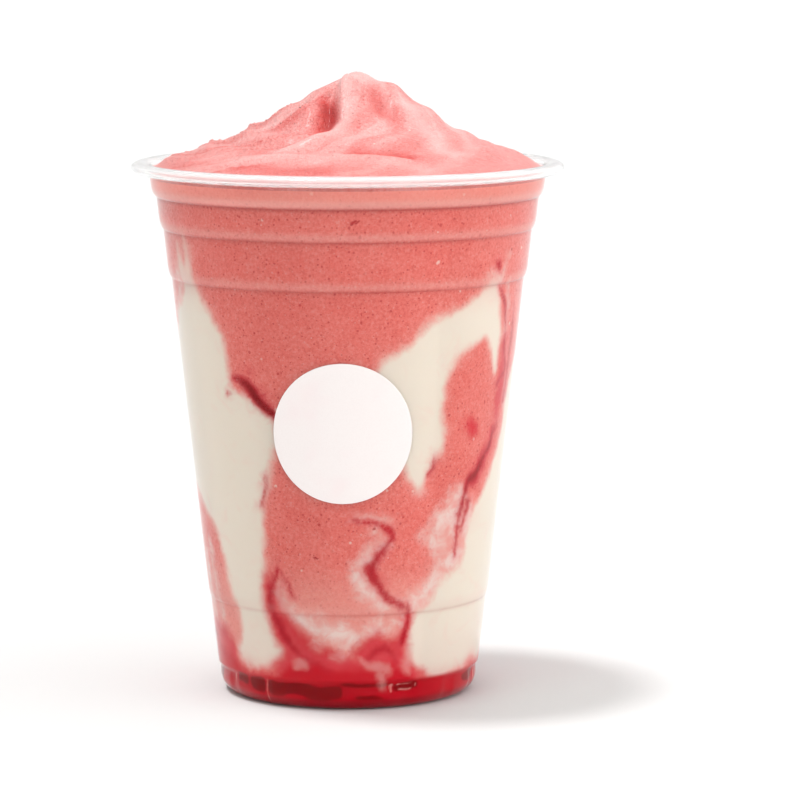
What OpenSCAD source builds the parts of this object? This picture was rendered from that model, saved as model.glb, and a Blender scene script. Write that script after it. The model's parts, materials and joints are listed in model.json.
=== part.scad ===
// Strawberry smoothie in a clear take-away cup: a blended drink heaped above the rim,
// with bands of yoghurt against the wall and dark fruit syrup in the foot.

/* [Cup] */
// Height of the cup, from the table to the top of the rim
cup_h = 122.6; // [100:0.2:150]
// Thickness of the cup's plastic
wall = 0.5; // [0.4:0.05:0.9]
// Outer radius just above the foot
base_r = 30.2; // [27:0.1:34]
// How far the wall leans out for each millimetre of height
taper = 0.112; // [0.09:0.001:0.13]
// Half the height of the rolled curl that makes the rim
curl_r = 1.3; // [1.1:0.1:1.8]
// Half the width of the curl
curl_w = 2.25; // [1.6:0.05:2.8]
// Depths of the stacking ledges below the rim
ledge_drops = [7.8, 15.2, 26.3];
// How far the wall swells out above each ledge
ledge_steps = [1.0, 0.7, 0.6];
// Height over which a ledge swells out
ledge_h = 2.8; // [2:0.1:3]
// Height of the low line, a faint ledge near the foot
low_line_z = 22.4; // [16:0.1:30]
// How far the wall swells out above the low line
low_line_step = 0.3; // [0.1:0.05:0.6]

/* [Foot] */
// Height of the foot below the lowest part of the wall
foot_h = 6.8; // [5.5:0.1:8]
// How far the foot is set in from the wall above it
foot_inset = 0.6; // [0.4:0.05:1.2]
// Radius of the rounding at the bottom of the foot
foot_round = 4; // [3:0.1:5]
// Width of the flat ring that the cup stands on
ring_w = 0.9; // [0.6:0.1:1.5]
// Depth of the hollow under the cup
recess_h = 3; // [2:0.1:3.6]

/* [Drink] */
// How far the drink lies below the top of the rim, at the wall
fill_drop = 2; // [1.5:0.1:4]
// Gap between the drink and the plastic
fill_gap = 0.02; // [0.01:0.01:0.1]
// Rise of the broad heap
dome_rise = 7.3; // [4:0.1:12]
// Rise of the peak above the heap
peak_rise = 14.8; // [6:0.1:20]
// Spread of the peak
peak_spread = 18.5; // [14:0.1:22]
// How far the peak stands to the right of the middle
peak_shift = 2.4; // [-4:0.1:4]
// Depth of the folds that the pour leaves round the heap
fold_depth = 0.5; // [0:0.05:1]

/* [Yoghurt and syrup] */
// How deep the bands of yoghurt reach into the drink
band_depth = 5; // [3:0.5:7]
// Rise of the syrup's surface over the foot
syrup_rise = 2.2; // [1.9:0.1:5]
// Height of the syrup's waves
syrup_wave = 1.5; // [0:0.1:1.6]

/* [Label] */
// Diameter of the round paper label
label_d = 32; // [24:1:40]
// Height of the label's middle
label_z = 64.4; // [50:0.1:72]
// How far round the cup the label is turned from the front
label_turn = -2; // [-30:1:30]
// Thickness of the label
label_t = 0.15; // [0.1:0.01:0.3]

/* [Hidden] */

// Middle height of the syrup's surface
syrup_top = foot_h + syrup_rise;
// How far round the syrup's waves are turned, in degrees
wave_turn = 50;
// Height between the syrup's highest wave and the lowest row of the drink's side
wave_gap = 0.4;
// Number of rings from the wall to the top of the heap
mound_rings = 17;
// Number of rings on the straight wall between the low line and the first ledge
wall_rings = 11;
// Number of steps that draw one ledge, and one rounding
ledge_n = 3;
round_n = 5;
// Number of steps that draw the curl, and the angle at which its lip ends
curl_n = 14;
curl_end = -110;
// Number of sides that a round piece is drawn with
round_fn = 120;
// Height of the drink that the bands' heights are given for
drawn_fill = 120.6;

// Ground ring: inner and outer radius
ring_out = base_r - foot_inset - foot_round;
ring_in = ring_out - ring_w;
// Slope of the hollow's side, as a width
recess_side = 1.0;
// Shares of the wall's thickness by which the slope's inside stands in from its outside
slope_low = 0.8;
slope_high = 0.6;
// Height over which the wall steps in to the foot, and how much higher it does so inside
step_h = 0.6;
step_lift = 0.1;
// Heights of the ledges, from the foot to the rim
ledges = concat([[low_line_z, low_line_step]],
                [for (i = [2:-1:0]) [cup_h - ledge_drops[i], ledge_steps[i]]]);
// Height of the curl's middle, where the wall ends
curl_z = cup_h - curl_r;
// Height of the drink at the wall
fill_z = cup_h - fill_drop;

// Bands of yoghurt, from the left round to the back: [lowest, highest] and then
// stations [height, degrees round from the front, half width in degrees].
// Beyond a band's ends, its stations only say where the drink's corners lie.
band_ends = [[12, 105], [52, 99], [12, 72], [12, 102]];
band_stations = [
    [[120, -63, 16], [105, -64, 5], [95, -62, 7], [88, -64, 15], [80, -68, 23], [72, -70, 30],
     [64, -64, 36], [55, -64, 35], [46, -57, 23], [40, -49, 15], [32, -46, 11], [17, -43, 9],
     [13, -41, 12], [8, -41, 14]],
    [[120, 49, 8], [97, 52, 4], [91, 45, 9], [85, 34, 12], [78, 25, 12], [68, 25, 11], [60, 27, 8],
     [52, 25, 4], [44, 15, 6], [30, -2, 8], [8, -4, 8]],
    [[120, 86, 14], [80, 84, 8], [72, 83, 7], [64, 84, 12], [55, 86, 19], [46, 83, 23], [38, 76, 26],
     [31, 72, 25], [24, 64, 28], [18, 58, 33], [12, 57, 31], [8, 57, 30]],
    [[120, 172, 14], [100, 172, 6], [90, 166, 10], [78, 158, 18], [66, 160, 24], [54, 172, 26],
     [44, 184, 20], [34, 188, 14], [25, 180, 16], [14, 169, 20], [8, 169, 20]]];
// Number of columns across each band, and across the drink after it
band_cols = [9, 4, 8, 7];
gap_cols = [11, 4, 6, 11];

// Dents and humps of the heap: [x, y, half length, half width, turn, rise]
reliefs = [[-0.5, -12, 9, 2.4, 78, 2.2], [-7.5, -12, 6, 3.6, 60, 1.8], [-4.3, -16.5, 3, 2.4, 90, -5.2],
           [8.4, -13, 5, 3, 110, -1.9], [13.5, -13, 7, 2.4, 115, 1], [7.5, -29.5, 7.5, 1.6, 4, -1.7],
           [7.5, -33.5, 9.5, 1.6, 6, 0.8], [40, 3, 7, 2.5, 90, 0.9], [3, 17, 8, 3, 110, 1.6],
           [-6, 19, 6, 3, 70, -2.4], [14, 24, 9, 2.6, 150, 1.2], [-22, 10, 9, 3, 120, 1]];

// Shape of the heap: how flat its top is, how full its shoulder is, how steeply its reliefs fade
// towards the wall, and where they and the folds begin
dome_flat = 2.6;
dome_full = 0.75;
edge_fade = 12;
fold_fade = 6;
fold_start = 12;
// Degrees of a fold's wave for each millimetre from the middle
fold_pitch = 42;
// Largest depth of a band, as a share of its half width, and the height over which it thins out
band_share = 0.8;
band_fade = 9;

// 0 to 1 with a soft start and end
function soft(t) = let (u = min(max(t, 0), 1)) u * u * (3 - 2 * u);
// 0 to 1 with a sharp start and a round end, as a ledge has over its crease
function swell(t) = let (u = min(max(t, 0), 1)) sqrt(1 - (1 - u) * (1 - u));
// Outer radius of the wall at a height above the foot
function wall_r(z) = base_r + taper * (z - foot_h) + ledge_sum(z, 0);
function ledge_sum(z, i) =
    i == len(ledges) ? 0 : ledges[i][1] * swell((z - ledges[i][0]) / ledge_h) + ledge_sum(z, i + 1);
// Points of an arc, and of an arc that is wider than it is high
function arc(c, r, from, to, n) = oval(c, r, r, from, to, n);
function oval(c, rx, rz, from, to, n) =
    [for (i = [0:n]) let (a = from + (to - from) * i / n) [c[0] + rx * cos(a), c[1] + rz * sin(a)]];
// Heights where the wall's line turns, from the foot up to a top height
function wall_heights(top) =
    concat([for (l = ledges) for (i = [0:ledge_n]) l[0] + ledge_h * i / ledge_n], [top]);

// Outline of the cup's outside, from the hollow under it up to the curl
function outside() = concat(
    [[0, recess_h], [ring_in - recess_side, recess_h], [ring_in, 0]],
    arc([ring_out, foot_round], foot_round, -90, 0, round_n),
    [[base_r - foot_inset, foot_h - step_h], [base_r, foot_h]],
    [for (z = wall_heights(curl_z)) [wall_r(z), z]]);
// Outline of the cup's inside, from the curl down to the middle of the floor
function inside() = concat(
    [for (p = inner_wall(curl_z)) p],
    inner_foot());
function inner_wall(top) =
    let (h = wall_heights(top)) [for (i = [len(h) - 1:-1:0]) [wall_r(h[i]) - wall, h[i]]];
function inner_foot() = concat(
    [[base_r - wall, foot_h + step_lift],
     [base_r - foot_inset - wall, foot_h + step_lift - step_h]],
    arc([ring_out, foot_round], foot_round - wall, 0, -90, round_n),
    [[ring_in + wall * slope_low, wall],
     [ring_in - recess_side + wall * slope_high, recess_h + wall],
     [0, recess_h + wall]]);

module cup() {
    curl_c = [wall_r(curl_z) - wall + curl_w, curl_z];
    color([0.93, 0.95, 0.96, 0.4])
        rotate_extrude($fn = round_fn)
            polygon(concat(
                outside(),
                oval(curl_c, curl_w - wall, curl_r - wall, 180, curl_end, curl_n),
                oval(curl_c, curl_w, curl_r, curl_end, 180, curl_n),
                inside()));
}

// The label is cut from a thin sleeve that follows the wall
module label() {
    bottom = label_z - label_d;
    top = label_z + label_d;
    heights = concat([bottom], [for (z = wall_heights(curl_z)) if (z > bottom && z < top) z], [top]);
    n = len(heights);
    color("white")
        intersection() {
            rotate_extrude($fn = round_fn)
                polygon(concat(
                    [for (z = heights) [wall_r(z) + fill_gap, z]],
                    [for (i = [n - 1:-1:0]) [wall_r(heights[i]) + fill_gap + label_t, heights[i]]]));
            rotate([90, 0, label_turn])
                translate([0, label_z, 0])
                    cylinder(d = label_d, h = 2 * base_r, $fn = round_fn);
        }
}

// Height of the heap at a place
function hump(x, y, f) =
    let (u = (x - f[0]) * cos(f[4]) + (y - f[1]) * sin(f[4]),
         v = (y - f[1]) * cos(f[4]) - (x - f[0]) * sin(f[4]))
        f[5] * exp(-pow(u / f[2], 2) - pow(v / f[3], 2));
function relief_sum(x, y, i) = i == len(reliefs) ? 0 : hump(x, y, reliefs[i]) + relief_sum(x, y, i + 1);
function mound_z(x, y) =
    let (r = norm([x, y]), edge = wall_r(fill_z) - wall, t = min(r / edge, 1),
         dome = dome_rise * pow(1 - pow(t, dome_flat), dome_full),
         peak = peak_rise * exp(-pow(norm([x - peak_shift, y]) / peak_spread, 2)),
         folds = fold_depth * sin(r * fold_pitch - atan2(y, x)) * (1 - pow(t, fold_fade))
             * soft(r / fold_start))
        fill_z + dome + (peak + folds + relief_sum(x, y, 0)) * (1 - pow(t, edge_fade));

// Closed solid through a stack of rings of points, with a point at each end
module stack(rings, first, last) {
    n = len(rings[0]);
    m = len(rings);
    polyhedron(
        points = concat([first], [for (r = rings) each r], [last]),
        faces = concat(
            [for (j = [0:n - 1]) [0, 1 + j, 1 + (j + 1) % n]],
            [for (i = [0:m - 2]) for (j = [0:n - 1])
                let (a = 1 + i * n + j, b = 1 + i * n + (j + 1) % n)
                    each [[a, a + n, b], [b, a + n, b + n]]],
            [for (j = [0:n - 1]) [m * n + 1, 1 + (m - 1) * n + (j + 1) % n, 1 + (m - 1) * n + j]]));
}

// Where a band's two edges lie at a height, in degrees
function band_edges(i, z) =
    let (key = z * drawn_fill / fill_z,
         middle = lookup(key, [for (s = band_stations[i]) [s[0], s[1]]]),
         half = lookup(key, [for (s = band_stations[i]) [s[0], s[2]]]))
        [middle - half, middle + half];
// The drink's columns: [band, is it in the band, share of the way across]
columns = [for (i = [0:3]) for (in_band = [true, false])
    let (n = in_band ? band_cols[i] : gap_cols[i]) for (q = [0:n - 1]) [i, in_band, q / n]];
function column_angle(c, z) =
    let (own = band_edges(c[0], z),
         next = c[0] < 3 ? band_edges(c[0] + 1, z)[0] : band_edges(0, z)[0] + 360)
        c[1] ? own[0] + (own[1] - own[0]) * c[2] : own[1] + (next - own[1]) * c[2];
function at(a, r, z) = [r * sin(a), -r * cos(a), z];
// Radius of the drink's side, and how deep a band is cut into it
function side_r(z) = wall_r(z) - wall - fill_gap;
function in_band(i, z) =
    let (key = z * drawn_fill / fill_z) z > low_row && key > band_ends[i][0] && key < band_ends[i][1];
function cut_depth(c, z) =
    let (edges = band_edges(c[0], z), half = (edges[1] - edges[0]) * PI / 360 * side_r(z),
         key = z * drawn_fill / fill_z,
         end = min(key - band_ends[c[0]][0], band_ends[c[0]][1] - key))
        !c[1] || !in_band(c[0], z) ? 0
            : min(band_depth, band_share * half) * sqrt(1 - pow(2 * c[2] - 1, 2))
                * sqrt(min(1, (end + 1) / band_fade));
function side_ring(z) = [for (c = columns) at(column_angle(c, z), side_r(z) - cut_depth(c, z), z)];
// A ring inside the drink, whose corners lie at the same angles as at a height of its side
function inner_ring(share, z) = [for (c = columns) at(column_angle(c, z), side_r(z) * share, z)];

// Heights of the rings on the drink's side, above the syrup
low_row = syrup_top + syrup_wave + wave_gap;
side_rows = let (low = ledges[0][0] + ledge_h, high = ledges[1][0]) concat(
    [for (i = [0:2]) low_row + (ledges[0][0] - low_row) * i / 3],
    [for (i = [0:ledge_n]) ledges[0][0] + ledge_h * i / ledge_n],
    [for (i = [1:wall_rings]) low + (high - low) * i / (wall_rings + 1)],
    [for (k = [1:3]) for (i = [0:ledge_n]) ledges[k][0] + ledge_h * i / ledge_n],
    [fill_z]);

// The syrup's surface, higher where the drink pulled it up, at a share of the way to the wall
function syrup_ring(share) = [for (c = columns)
    let (a = column_angle(c, syrup_top), z = syrup_top + syrup_wave * cos(2 * a + wave_turn) * share)
        at(a, side_r(z) * share, z)];
syrup_shares = [0.25, 0.5, 0.75, 1];

module smoothie() {
    color([0.9, 0.5, 0.47])
        stack(
            concat(
                [for (s = syrup_shares) syrup_ring(s)],
                [for (z = side_rows) side_ring(z)],
                [for (i = [1:mound_rings - 1])
                    [for (p = inner_ring(1 - i / mound_rings, fill_z)) [p[0], p[1], mound_z(p[0], p[1])]]]),
            [0, 0, syrup_top],
            [0, 0, mound_z(0, 0)]);
}

module syrup() {
    low = [for (p = inner_foot()) if (p[0] > 0) p];
    n = len(low);
    color([0.6, 0.06, 0.12])
        stack(
            concat(
                [for (i = [n - 1:-1:0]) [for (c = columns) let (a = column_angle(c, syrup_top))
                    at(a, low[i][0] - fill_gap, low[i][1] + (i > 0 ? fill_gap : 0))]],
                [for (i = [3:-1:0]) syrup_ring(syrup_shares[i])]),
            [0, 0, recess_h + wall + fill_gap],
            [0, 0, syrup_top]);
}

// A band of yoghurt: its outside lies in the drink's side, its inside in the hollow cut for it,
// and the two share their border. A corner's triangle lies in both, so it is left out.
module yoghurt(i) {
    inner_rows = [for (k = [0:len(side_rows) - 1]) if (in_band(i, side_rows[k])) k];
    rows = [for (k = [inner_rows[0] - 1:inner_rows[len(inner_rows) - 1] + 1]) side_rows[k]];
    cols = concat([for (q = [0:band_cols[i] - 1]) [i, true, q / band_cols[i]]], [[i, false, 0]]);
    m = len(rows);
    n = len(cols);
    skin = [for (z = rows) for (c = cols) at(column_angle(c, z), side_r(z), z)];
    bed = [for (r = [1:m - 2]) for (q = [1:n - 2]) let (z = rows[r], c = cols[q])
        at(column_angle(c, z), side_r(z) - cut_depth(c, z), z)];
    function bed_point(r, q) =
        r == 0 || r == m - 1 || q == 0 || q == n - 1 ? r * n + q : m * n + (r - 1) * (n - 2) + q - 1;
    color([0.95, 0.92, 0.87])
        polyhedron(
            points = concat(skin, bed),
            faces = [for (r = [0:m - 2]) for (q = [0:n - 2])
                let (a = r * n + q, ba = bed_point(r, q), bb = bed_point(r, q + 1),
                     bc = bed_point(r + 1, q), bd = bed_point(r + 1, q + 1))
                    each concat(
                        max(ba, bb, bc) < m * n ? [] : [[a, a + n, a + 1], [ba, bb, bc]],
                        max(bb, bc, bd) < m * n ? [] : [[a + 1, a + n, a + n + 1], [bb, bd, bc]])]);
}

cup();
label();
smoothie();
yoghurt(0);  // yoghurt_left
yoghurt(1);  // yoghurt_right
yoghurt(2);  // yoghurt_side
yoghurt(3);  // yoghurt_back
syrup();
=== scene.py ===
# %% [markdown]
# # A strawberry smoothie in a clear take-away cup
# The drink is blended fruit and ice, poured over spoonfuls of yoghurt and a dark fruit syrup, so the
# clear wall of the cup shows broad white bands, crimson streaks and soft pink clouds. The frame gives
# the true sizes. Everything that is seen is modelled here again, finer, in the same place.

# %% Load the frame
import json
import math

import bpy
import numpy as np
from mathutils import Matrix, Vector

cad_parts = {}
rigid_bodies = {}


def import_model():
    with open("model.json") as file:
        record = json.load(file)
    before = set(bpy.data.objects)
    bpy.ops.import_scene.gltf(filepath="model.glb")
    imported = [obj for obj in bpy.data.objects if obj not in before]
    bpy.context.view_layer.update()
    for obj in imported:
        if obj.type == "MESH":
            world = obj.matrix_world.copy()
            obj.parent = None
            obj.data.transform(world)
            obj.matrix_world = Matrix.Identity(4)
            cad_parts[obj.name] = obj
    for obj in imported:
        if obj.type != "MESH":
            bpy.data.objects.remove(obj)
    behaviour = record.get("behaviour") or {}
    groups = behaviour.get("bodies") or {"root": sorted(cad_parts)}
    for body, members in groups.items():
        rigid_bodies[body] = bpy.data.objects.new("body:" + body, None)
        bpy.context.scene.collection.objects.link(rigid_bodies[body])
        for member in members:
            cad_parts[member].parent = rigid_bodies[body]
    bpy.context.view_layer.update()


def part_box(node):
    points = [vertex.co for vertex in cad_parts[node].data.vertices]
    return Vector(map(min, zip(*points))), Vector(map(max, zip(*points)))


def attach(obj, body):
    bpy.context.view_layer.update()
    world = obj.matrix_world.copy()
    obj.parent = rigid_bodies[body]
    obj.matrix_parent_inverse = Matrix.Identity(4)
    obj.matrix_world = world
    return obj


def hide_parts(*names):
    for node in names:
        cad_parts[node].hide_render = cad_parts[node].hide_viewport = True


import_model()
MM = 0.001
scene = bpy.context.scene
_, cup_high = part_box("cup")
_, drink_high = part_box("smoothie")
label_low, label_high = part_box("label")
print("cup height", round(cup_high[2] / MM, 2), "mm, heap top", round(drink_high[2] / MM, 2), "mm")

# %% [markdown]
# ## Camera, floor and light
# A drink looks best through a long lens a little above the rim, so the cup's sides stay nearly
# straight. The floor is so wide that it fills the view behind the cup too. One small high light from
# the left gives the short shadow to the right, a wide soft box at the right gives the broad gloss on
# that side, and the pale room does the rest. A long lens and a far camera were chosen over a near one
# because a near camera would look up under the rim's far side.

# %% Camera
CAMERA_PLACE = (0, -0.948, 0.192)
CAMERA_TARGET = (0.012, 0, 0.0672)
CAMERA_LENS = 186.2


def put(data, place, target):
    """Puts a camera or a lamp in the scene and turns it towards its target."""
    thing = bpy.data.objects.new(data.name, data)
    scene.collection.objects.link(thing)
    thing.location = place
    thing.rotation_euler = (Vector(target) - thing.location).to_track_quat("-Z", "Y").to_euler()
    return thing


camera_data = bpy.data.cameras.new("camera")
camera_data.lens = CAMERA_LENS
camera_data.sensor_width = 36
camera_data.clip_end = 100
camera = put(camera_data, CAMERA_PLACE, CAMERA_TARGET)
scene.camera = camera
scene.view_settings.view_transform = "Standard"
print("camera looks down by", round(math.degrees(math.pi / 2 - camera.rotation_euler.x), 2), "degrees")


# %% Floor
def mesh_object(name, points, faces, materials=(), smooth=True):
    """A mesh from points in metres, linked into the scene."""
    mesh = bpy.data.meshes.new(name)
    mesh.from_pydata([tuple(p) for p in points], [], [tuple(f) for f in faces])
    mesh.update()
    mesh.polygons.foreach_set("use_smooth", [smooth] * len(mesh.polygons))
    for material in materials:
        mesh.materials.append(material)
    piece = bpy.data.objects.new(name, mesh)
    scene.collection.objects.link(piece)
    return piece


FLOOR_HALF = 30.0
FLOOR_COLOR = (0.675, 0.682, 0.68, 1)
floor_material = bpy.data.materials.new("pale_floor")
floor_material.use_nodes = True
floor_shader = floor_material.node_tree.nodes["Principled BSDF"]
for title, value in (("Base Color", FLOOR_COLOR), ("Roughness", 0.9), ("Specular IOR Level", 0.1)):
    floor_shader.inputs[title].default_value = value
floor = mesh_object(
    "floor",
    [(x * FLOOR_HALF, y * FLOOR_HALF, 0) for x, y in ((-1, -1), (1, -1), (1, 1), (-1, 1))],
    [(0, 1, 2, 3)],
    [floor_material],
    smooth=False,
)
print("floor laid,", 2 * FLOOR_HALF, "m across")

# %% Room light
ROOM_COLOR = (1.0, 0.997, 0.99, 1)
ROOM_BRIGHT_SIDE = Vector((0.84, -0.5, 0.2))
ROOM_DIM, ROOM_BRIGHT = 0.69, 1.27
FACING_AWAY = -0.9
scene.world = bpy.data.worlds.new("pale_room")
scene.world.use_nodes = True
room = scene.world.node_tree
room.nodes["Background"].inputs["Color"].default_value = ROOM_COLOR
direction = room.nodes.new("ShaderNodeTexCoord")
towards = room.nodes.new("ShaderNodeVectorMath")
towards.operation = "DOT_PRODUCT"
towards.inputs[1].default_value = ROOM_BRIGHT_SIDE.normalized()
brightness = room.nodes.new("ShaderNodeMapRange")
for title, value in (("From Min", FACING_AWAY), ("To Min", ROOM_DIM), ("To Max", ROOM_BRIGHT)):
    brightness.inputs[title].default_value = value
room.links.new(direction.outputs["Generated"], towards.inputs[0])
room.links.new(towards.outputs["Value"], brightness.inputs["Value"])
room.links.new(brightness.outputs[0], room.nodes["Background"].inputs["Strength"])
print("room light from", ROOM_DIM, "to", ROOM_BRIGHT)

# %% Lamps
SUN_ENERGY = 1.8
SUN_WIDTH = math.radians(9)
BOX_SIDE = 0.9
BOX_RADIANCE = 0.8
sun_data = bpy.data.lights.new("high_light", "SUN")
sun_data.energy = SUN_ENERGY
sun_data.angle = SUN_WIDTH
put(sun_data, (-0.22, 0.0, 1.0), (0, 0, 0))
box_data = bpy.data.lights.new("right_soft_box", "AREA")
box_data.shape = "RECTANGLE"
box_data.size = box_data.size_y = BOX_SIDE
box_data.energy = BOX_RADIANCE * math.pi * BOX_SIDE * BOX_SIDE
put(box_data, (1.05, -0.1, 0.42), (0, 0, 0.07))

# %% [markdown]
# ## The line of the wall
# A thermoformed cup is drawn over a mould, so its whole shape is one outline turned round an axis.
# The outline is a formula: a straight leaning wall, plus a small swelling over each stacking ledge
# that starts in a sharp crease and ends round. Cup, drink and label all use it, which keeps them
# fitted.

# %% Sizes of the cup, in millimetres
CUP_H = cup_high[2] / MM
WALL = 0.5
BASE_R = 30.2
TAPER = 0.112
CURL_R = 1.3
CURL_W = 2.25
LEDGE_H = 2.8
FOOT_H = 6.8
FOOT_INSET = 0.6
FOOT_ROUND = 4.0
RING_WIDE = 0.9
RING_OUT = BASE_R - FOOT_INSET - FOOT_ROUND
RING_IN = RING_OUT - RING_WIDE
RECESS_H = 3.0
RECESS_SIDE = 1.0
STEP_H = 0.6
CURL_Z = CUP_H - CURL_R
FILL_Z = CUP_H - 2
LEDGES = [(22.4, 0.3), (CUP_H - 26.3, 0.6), (CUP_H - 15.2, 0.7), (CUP_H - 7.8, 1.0)]
print("ledges at", [round(low, 1) for low, _ in LEDGES], "mm")

# %% The wall's formula


def soft(t):
    """0 to 1 with a soft start and a soft end."""
    u = np.clip(t, 0, 1)
    return u * u * (3 - 2 * u)


def swell(t):
    """0 to 1 with a sharp start and a round end."""
    u = np.clip(t, 0, 1)
    return np.sqrt(1 - (1 - u) ** 2)


def wall_r(z):
    """Radius of the wall's outside at a height, in mm."""
    z = np.asarray(z, float)
    ledges = sum(step * swell((z - low) / LEDGE_H) for low, step in LEDGES)
    return BASE_R + TAPER * (z - FOOT_H) + ledges


print("rim radius", round(float(wall_r(CURL_Z)), 2), "mm")


# %% Parts of an outline
def arc(centre, radius, start, end, count, high=None):
    """Points of an arc in the outline; high makes it an oval of another height."""
    turn = np.radians(np.linspace(start, end, count + 1))
    return [(centre[0] + radius * math.cos(a), centre[1] + (high or radius) * math.sin(a)) for a in turn]


LEDGE_ROWS = (-0.06, 0, 0.02, 0.06, 0.12, 0.2, 0.3, 0.45, 0.6, 0.8, 1)


def wall_heights(low, high, step):
    """Heights up a wall: even steps, with closer ones over each ledge's sharp start."""
    heights = set(np.round(np.linspace(low, high, int((high - low) / step) + 1), 3))
    for ledge, _ in LEDGES:
        heights |= {round(ledge + LEDGE_H * t, 3) for t in LEDGE_ROWS}
    return sorted(z for z in heights if low <= z <= high)


print("a wall in 2 mm steps has", len(wall_heights(FOOT_H, CURL_Z, 2)), "rows")


# %% Turning an outline
def turned(name, outline, around, shape=None):
    """Turns an outline of (radius, height) in mm; a radius of 0 closes the shape at the axis."""
    points, rings = [], []
    turn = np.linspace(0, 2 * math.pi, around, endpoint=False)
    for k, (r, z) in enumerate(outline):
        if r <= 0:
            rings.append([len(points)])
            points.append((0, 0, z * MM))
            continue
        radii = np.full(around, r) if shape is None else shape(np.degrees(turn), r, z, k)
        rings.append(list(range(len(points), len(points) + around)))
        points += [(q * math.sin(a) * MM, -q * math.cos(a) * MM, z * MM) for a, q in zip(turn, radii)]
    faces = []
    for low, high in zip(rings, rings[1:]):
        for j in range(around):
            n = (j + 1) % around
            if len(low) == 1:
                faces.append((low[0], high[n], high[j]))
            elif len(high) == 1:
                faces.append((low[j], low[n], high[0]))
            else:
                faces.append((low[j], low[n], high[n], high[j]))
    return mesh_object(name, points, faces)


print("outlines can be turned")


# %% [markdown]
# ## Small helpers for shader nodes
# Every finish here is made of nodes. They could be placed one by one, but a few short helpers keep
# the cells readable: one makes a node with its values, one joins two sockets, and the rest make the
# nodes that are asked for most. The groups that follow are built once and used by several finishes.

# %% Node helpers: nodes and sockets


def node(tree, kind, **settings):
    """A new node with its settings and the values of its inputs."""
    made = tree.nodes.new(kind)
    for key, value in settings.items():
        if hasattr(made, key) and key not in made.inputs:
            setattr(made, key, value)
        else:
            made.inputs[key].default_value = value
    return made


def join(tree, source, target):
    tree.links.new(source, target)


def fill(tree, socket, value):
    """Gives an input a number, a colour of three numbers, or another node's output."""
    if isinstance(value, (int, float)):
        socket.default_value = value
    elif isinstance(value, tuple):
        socket.default_value = (*value, 1)
    else:
        join(tree, value, socket)


print("nodes can be made and joined")

# %% Node helpers: sums and colours


def maths(tree, operation, a, b):
    made = node(tree, "ShaderNodeMath", operation=operation)
    fill(tree, made.inputs[0], a)
    fill(tree, made.inputs[1], b)
    return made.outputs[0]


def times(tree, a, b):
    return maths(tree, "MULTIPLY", a, b)


def mix(tree, share, a, b):
    """A colour Mix node: a where share is 0, b where it is 1."""
    made = node(tree, "ShaderNodeMix", data_type="RGBA")
    for place, value in ((0, share), (6, a), (7, b)):
        fill(tree, made.inputs[place], value)
    return made.outputs[2]


def layer(tree, below, mask, strength, color):
    """Lays a colour over another where a mask lets it."""
    return mix(tree, times(tree, mask, strength), below, color)


def ramp(tree, value, low, high, to_low=0.0, to_high=1.0):
    """A soft Map Range node from low..high to to_low..to_high."""
    made = node(tree, "ShaderNodeMapRange", interpolation_type="SMOOTHSTEP")
    for place, number in enumerate((value, low, high, to_low, to_high)):
        fill(tree, made.inputs[place], number)
    return made.outputs[0]


print("numbers and colours can be mixed")

# %% Node helpers: groups


def new_group(name, inputs, outputs):
    """A node group with named inputs [(name, kind, value)] and outputs [(name, kind)]."""
    group = bpy.data.node_groups.new(name, "ShaderNodeTree")
    for title, kind, value in inputs:
        group.interface.new_socket(name=title, in_out="INPUT", socket_type=kind).default_value = value
    for title, kind in outputs:
        group.interface.new_socket(name=title, in_out="OUTPUT", socket_type=kind)
    return group, group.nodes.new("NodeGroupInput").outputs, group.nodes.new("NodeGroupOutput").inputs


def use_group(tree, group, **values):
    """Places a group with the values of its inputs."""
    made = node(tree, "ShaderNodeGroup", node_tree=group)
    for key, value in values.items():
        fill(tree, made.inputs[key.replace("_", " ")], value)
    return made.outputs


print("groups can be made and placed")

# %% Node helpers: places and values


def place_in_mm(tree):
    """Object coordinates, in millimetres."""
    scaled = node(tree, "ShaderNodeVectorMath", operation="SCALE", Scale=1 / MM)
    join(tree, tree.nodes.new("ShaderNodeTexCoord").outputs["Object"], scaled.inputs[0])
    return scaled.outputs[0]


def height_in_mm(tree):
    split = tree.nodes.new("ShaderNodeSeparateXYZ")
    join(tree, place_in_mm(tree), split.inputs[0])
    return split.outputs["Z"]


def noise(tree, place, scale, detail=3.0, rough=0.55, warp=0.0):
    made = node(tree, "ShaderNodeTexNoise", Scale=scale, Detail=detail, Roughness=rough, Distortion=warp)
    join(tree, place, made.inputs["Vector"])
    return made.outputs[0]


def measured(tree, name):
    """A value stored on the mesh's points."""
    return node(tree, "ShaderNodeAttribute", attribute_name=name).outputs["Fac"]


print("places can be read in", MM, "m steps")

# %% Node helpers: materials


def new_material(name, **values):
    """A material, its nodes and its shader, with the shader's values."""
    material = bpy.data.materials.new(name)
    material.use_nodes = True
    shader = material.node_tree.nodes["Principled BSDF"]
    for key, value in values.items():
        socket = shader.inputs[key.replace("_", " ")]
        socket.default_value = (*value, 1) if socket.type == "RGBA" else value
    return material, material.node_tree, shader


def add_bump(tree, shader, height, strength, distance):
    """Turns a height into the shader's normal; distance is in metres."""
    bump = node(tree, "ShaderNodeBump", Strength=strength, Distance=distance)
    join(tree, height, bump.inputs["Height"])
    join(tree, bump.outputs[0], shader.inputs["Normal"])


def srgb(r, g, b):
    """A colour written in the usual 0 to 255 steps, as light."""
    steps = (c / 255 for c in (r, g, b))
    return tuple(c / 12.92 if c <= 0.04045 else ((c + 0.055) / 1.055) ** 2.4 for c in steps)


print("a mid grey is", round(srgb(128, 128, 128)[0], 3), "as light")

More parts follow.
